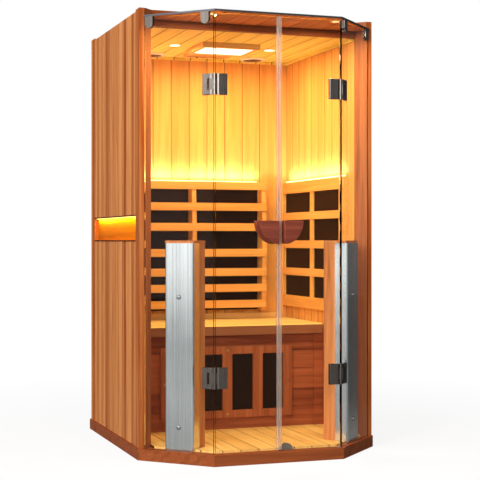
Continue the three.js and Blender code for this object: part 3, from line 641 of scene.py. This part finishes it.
# Downlights in the ceiling and the canopy: a rim with a lit lens in it
CEILING_SPOT = (0.241, 0.165)
CANOPY_SPOT = (0.290, -0.536)
LENS_DROP = 0.0021
LENS_INSET = 0.008
CEILING_RADIUS, CANOPY_RADIUS = 0.034, 0.024
DOWNLIGHTS = (
    ("ceiling", CEILING_SPOT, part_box("ceiling_light_frame")[1].z, CEILING_RADIUS, lamp_glow),
    ("canopy", CANOPY_SPOT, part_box("canopy_board")[0].z, CANOPY_RADIUS, canopy_glow),
)
for place, (x, y), z, radius, lit in DOWNLIGHTS:
    rims = [(f"{side}_{place}_light_rim", (x * sign, y, z), DOWN) for side, sign in SIDES]
    ring = round_blank(radius, depth=0.004, inset=0.007, sink=0.002, bevel=0.0008)
    set_round(ring, rims, rim_brass)
    lenses = [(f"{side}_{place}_light_lens", (x * sign, y, z - LENS_DROP), DOWN) for side, sign in SIDES]
    lens = round_blank(radius - LENS_INSET, depth=0.002, inset=0.004, sink=-0.0006, bevel=0.0004)
    set_round(lens, lenses, lit)

# Light strips over the backrest and the side frames
STRIP_TALL = 0.008
STRIP_BEVEL = 0.002
STRIP_END = 0.03
SEAT_GAP = 0.0002
BACK_STRIP_Y = (0.545, 0.559)
SIDE_STRIP_X = (0.472, 0.486)
SIDE_STRIP_Y = (-0.2, 0.53)
rest_low, rest_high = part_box("backrest")
strip(
    "back_light_strip",
    (rest_low.x + STRIP_END, BACK_STRIP_Y[0], rest_high.z + SEAT_GAP),
    (rest_high.x - STRIP_END, BACK_STRIP_Y[1], rest_high.z + SEAT_GAP + STRIP_TALL),
    STRIP_BEVEL, strip_glow,
)
strip_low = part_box("left_heater_frame")[1].z + SEAT_GAP
strip_z = (strip_low, strip_low + STRIP_TALL)
strip_pair("light_strip", SIDE_STRIP_X, SIDE_STRIP_Y, strip_z, STRIP_BEVEL, strip_glow)

# Wall niches: a back, a light strip under the top, and a trim along the top and the bottom
NICHE_LOW, NICHE_HIGH = 0.945, 1.062
NICHE_Y = (-0.2865, 0.531)
NICHE_BACK_X = (0.5288, 0.5328)
NICHE_LIGHT_X = (0.5332, 0.5432)
NICHE_TRIM_X = (0.5468, 0.5518)
NICHE_GAP, TRIM_GAP = 0.0005, 0.0003
TRIM_TALL = 0.006
LIGHT_TALL = 0.009
LIGHT_END = 0.01
BACK_BEVEL, LIGHT_BEVEL, TRIM_BEVEL = 0.0005, 0.001, 0.0006
back_z = (NICHE_LOW + NICHE_GAP, NICHE_HIGH - NICHE_GAP)
strip_pair("niche_back", NICHE_BACK_X, NICHE_Y, back_z, BACK_BEVEL, niche_wood)
light_y = (NICHE_Y[0] + LIGHT_END, NICHE_Y[1] - LIGHT_END)
light_z = (NICHE_HIGH - LIGHT_TALL, NICHE_HIGH - NICHE_GAP)
strip_pair("niche_light", NICHE_LIGHT_X, light_y, light_z, LIGHT_BEVEL, niche_glow)
top_z = (NICHE_HIGH - TRIM_TALL, NICHE_HIGH - TRIM_GAP)
strip_pair("niche_top_trim", NICHE_TRIM_X, NICHE_Y, top_z, TRIM_BEVEL, niche_trim)
low_z = (NICHE_LOW + TRIM_GAP, NICHE_LOW + TRIM_TALL)
strip_pair("niche_low_trim", NICHE_TRIM_X, NICHE_Y, low_z, TRIM_BEVEL, niche_trim)

# A low rail along the back of the seat
RAIL_END = 0.03
RAIL_DEEP, RAIL_TALL = 0.02, 0.03
RAIL_BEVEL = 0.003
seat_low, seat_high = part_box("bench_seat")
strip(
    "seat_back_rail",
    (seat_low.x + RAIL_END, seat_high.y - RAIL_DEEP, seat_high.z + SEAT_GAP),
    (seat_high.x - RAIL_END, seat_high.y - SEAT_GAP, seat_high.z + RAIL_TALL),
    RAIL_BEVEL, seat_rail_wood,
)

# Screws on the steel covers and on the bench heater's frame
SCREW_GAP = 0.0001
FLAT_REACH = 0.0005
COVER_SCREW_ROWS = (("upper", 0.707), ("lower", 0.150))
RAIL_MIDDLE, STILE_MIDDLE = 0.0175, 0.022


def front_of(node, normal):
    """How far a node reaches along a level normal, the middle of its width there, and that width's way."""
    side = Vector((-normal.y, normal.x, 0))
    places = [vertex.co for vertex in nodes[node].data.vertices]
    reach = max(place.dot(normal) for place in places)
    face = [place.dot(side) for place in places if place.dot(normal) > reach - FLAT_REACH]
    return reach, (min(face) + max(face)) / 2, side


cover_screws = []
for side, sign in SIDES:
    normal = Vector((HALF * sign, -HALF, 0))
    reach, middle, across = front_of(f"{side}_tower_cover", normal)
    for row, height in COVER_SCREW_ROWS:
        centre = normal * (reach + SCREW_GAP) + across * middle + Vector((0, 0, height))
        cover_screws.append((f"{side}_{row}_cover_screw", centre, normal))
cover_screw = round_blank(radius=0.0105, depth=0.005, inset=0.0045, sink=-0.0015, bevel=0.0022)
set_round(cover_screw, cover_screws, screw_steel)
frame_low, frame_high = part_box("bench_heater_frame")
frame_x = (frame_low.x + frame_high.x) / 2
frame_z = (frame_low.z + frame_high.z) / 2
FRAME_SCREWS = (
    ("top", frame_x, frame_high.z - RAIL_MIDDLE),
    ("low", frame_x, frame_low.z + RAIL_MIDDLE),
    ("left", frame_low.x + STILE_MIDDLE, frame_z),
    ("right", frame_high.x - STILE_MIDDLE, frame_z),
)
screw_y = frame_low.y - SCREW_GAP
frame_screws = [(f"bench_frame_{place}_screw", (x, screw_y, z), FRONT) for place, x, z in FRAME_SCREWS]
frame_screw = round_blank(radius=0.006, depth=0.002, inset=0.0025, sink=0.0008, bevel=0.0006)
set_round(frame_screw, frame_screws, screw_brass)

# Lamps: a soft studio key, and the cabin's own lights
WHITE = (1.0, 1.0, 1.0)
WARM = (1.0, 0.82, 0.42)
ROSE = (1.0, 0.86, 0.96)
YELLOW = (1.0, 0.70, 0.04)
KEY_PLACE, KEY_AIM, KEY_SIZE = (-4.5, -4.0, 2.8), (4.5, 4.0, -1.8), (2.5, 2.5)
FRONT_PLACE, FRONT_AIM, FRONT_SIZE = (-2.0, -6.5, 3.0), (2.0, 6.5, -2.2), (2.0, 2.0)
PANEL_PLACE, PANEL_SIZE = (0, 0.153, 1.862), (0.24, 0.2)
GLOW_SIZE, GLOW_LEAN, GLOW_Z = (0.72, 0.03), 0.2, 1.268
BACK_GLOW_X, BACK_GLOW_Y = -0.045, 0.534
SIDE_GLOW_X, SIDE_GLOW_Y = 0.459, 0.16
NICHE_LAMP_SIZE, NICHE_LAMP_LEAN = (0.78, 0.008), 0.3
NICHE_LAMP_X, NICHE_LAMP_Y, NICHE_LAMP_DROP = 0.540, 0.122, 0.011
CEILING_SPOT_SIZE, CEILING_SPOT_Z = (0.05, 0.05), 1.878
CANOPY_SPOT_SIZE, CANOPY_SPOT_Z = (0.03, 0.03), 1.906


def area_lamp(name, place, aim, size, energy, colour):
    lamp = bpy.data.lights.new(name, "AREA")
    lamp.shape = "RECTANGLE"
    lamp.size, lamp.size_y = size
    lamp.energy = energy
    lamp.color = colour
    stand = bpy.data.objects.new(name, lamp)
    stand.visible_camera = False
    stand.visible_transmission = False
    stand.location = place
    stand.rotation_euler = Vector(aim).to_track_quat("-Z", "Y").to_euler()
    scene.collection.objects.link(stand)


area_lamp("key", KEY_PLACE, KEY_AIM, KEY_SIZE, energy=240, colour=WHITE)
area_lamp("front", FRONT_PLACE, FRONT_AIM, FRONT_SIZE, energy=125, colour=WHITE)
area_lamp("ceiling_light", PANEL_PLACE, DOWN, PANEL_SIZE, energy=6.5, colour=WARM)
back_place = (BACK_GLOW_X, BACK_GLOW_Y, GLOW_Z)
area_lamp("back_glow", back_place, (0, GLOW_LEAN, 1), GLOW_SIZE, energy=1.7, colour=ROSE)
for side, sign in SIDES:
    side_place = (SIDE_GLOW_X * sign, SIDE_GLOW_Y, GLOW_Z)
    area_lamp(f"{side}_glow", side_place, (GLOW_LEAN * sign, 0, 1), GLOW_SIZE, energy=1.5, colour=ROSE)
    niche_place = (NICHE_LAMP_X * sign, NICHE_LAMP_Y, NICHE_HIGH - NICHE_LAMP_DROP)
    niche_aim = (-NICHE_LAMP_LEAN * sign, 0, -1)
    area_lamp(f"{side}_niche_glow", niche_place, niche_aim, NICHE_LAMP_SIZE, energy=1.15, colour=YELLOW)
    spot_place = (CEILING_SPOT[0] * sign, CEILING_SPOT[1], CEILING_SPOT_Z)
    area_lamp(f"{side}_spot", spot_place, DOWN, CEILING_SPOT_SIZE, energy=1.2, colour=WARM)
    canopy_place = (CANOPY_SPOT[0] * sign, CANOPY_SPOT[1], CANOPY_SPOT_Z)
    area_lamp(f"{side}_canopy_spot", canopy_place, DOWN, CANOPY_SPOT_SIZE, energy=6.0, colour=WARM)

# Stage: a pale floor that keeps the shadow, in a white room with one brighter side
BRIGHT_SIDE = (-0.8, -0.6, 0)
FLOOR_SIZE, FLOOR_DROP = 30, 0.0005
FLOOR_WHITE = (0.95, 0.95, 0.95, 1.0)
FLOOR_BOUNCE = (0.12, 0.12, 0.12, 1.0)
PAPER_SHARE = 0.88
SHADOW_REACH = (0.9, 3.0)
MIRROR_SHARE = 0.3
FLOOR_FALL = 0.28
LIT_SIDE, DIM_SIDE = 1.4, 0.12
FALL_POWER = 3.0


def straight_view(tree, rays):
    """One for what is seen straight or through glass, and nought after a reflection."""
    seen = math_node(tree, "MAXIMUM", rays.outputs["Is Camera Ray"], rays.outputs["Is Transmission Ray"])
    return times(tree, seen, math_node(tree, "LESS_THAN", rays.outputs["Glossy Depth"], 0.5))


def floor_white():
    """White paper that takes the shadow near the cabin, and is dimmer in mirrors and as bounce; in mirrors
    it carries painted light, brighter towards the bright side.
    """
    material, tree, shader = new_material("floor_white")
    shader.inputs["Roughness"].default_value = 0.9
    rays = tree.nodes.new("ShaderNodeLightPath")
    seen = straight_view(tree, rays)
    link(tree, mix_colour(tree, seen, FLOOR_BOUNCE, FLOOR_WHITE), shader.inputs["Base Color"])
    place = tree.nodes.new("ShaderNodeNewGeometry").outputs["Position"]
    # Painted light: what mirrors see of the paper is brighter towards the bright side and fades across the
    # floor
    painted_fall = along_direction(tree, place, [FLOOR_FALL * part for part in BRIGHT_SIDE])
    mirrored = times(tree, rays.outputs["Is Glossy Ray"], MIRROR_SHARE)
    mirrored = times(tree, mirrored, clamped(tree, plus(tree, painted_fall, 0.5)))
    away = tree.nodes.new("ShaderNodeVectorMath")
    away.operation = "LENGTH"
    link(tree, place, away.inputs[0])
    fade = tree.nodes.new("ShaderNodeMapRange")
    fade.inputs["From Min"].default_value, fade.inputs["From Max"].default_value = SHADOW_REACH
    fade.inputs["To Min"].default_value = PAPER_SHARE
    link(tree, away.outputs["Value"], fade.inputs["Value"])
    direct = times(tree, seen, fade.outputs["Result"])
    paper = tree.nodes.new("ShaderNodeEmission")
    mix_shader(tree, plus(tree, direct, mirrored), shader.outputs[0], paper.outputs[0])
    return material


def white_room():
    """A room that is white where it is seen, and lights the cabin more from one side."""
    world = bpy.data.worlds.new("room")
    scene.world = world
    world.use_nodes = True
    tree = world.node_tree
    seen = straight_view(tree, tree.nodes.new("ShaderNodeLightPath"))
    sky = tree.nodes.new("ShaderNodeTexCoord").outputs["Generated"]
    share = plus(tree, times(tree, along_direction(tree, sky, BRIGHT_SIDE), 0.5), 0.5)
    share = math_node(tree, "POWER", share, FALL_POWER)
    soft = plus(tree, times(tree, share, LIT_SIDE - DIM_SIDE), DIM_SIDE)
    room = tree.nodes["Background"]
    room.inputs["Color"].default_value = (1, 1, 1, 1)
    link(tree, math_node(tree, "MAXIMUM", soft, seen), room.inputs["Strength"])


bpy.ops.object.select_all(action="DESELECT")
bpy.ops.mesh.primitive_plane_add(size=FLOOR_SIZE, location=(0, 0, -FLOOR_DROP))
floor = bpy.context.object
floor.name = "floor"
floor.data.materials.append(floor_white())
white_room()
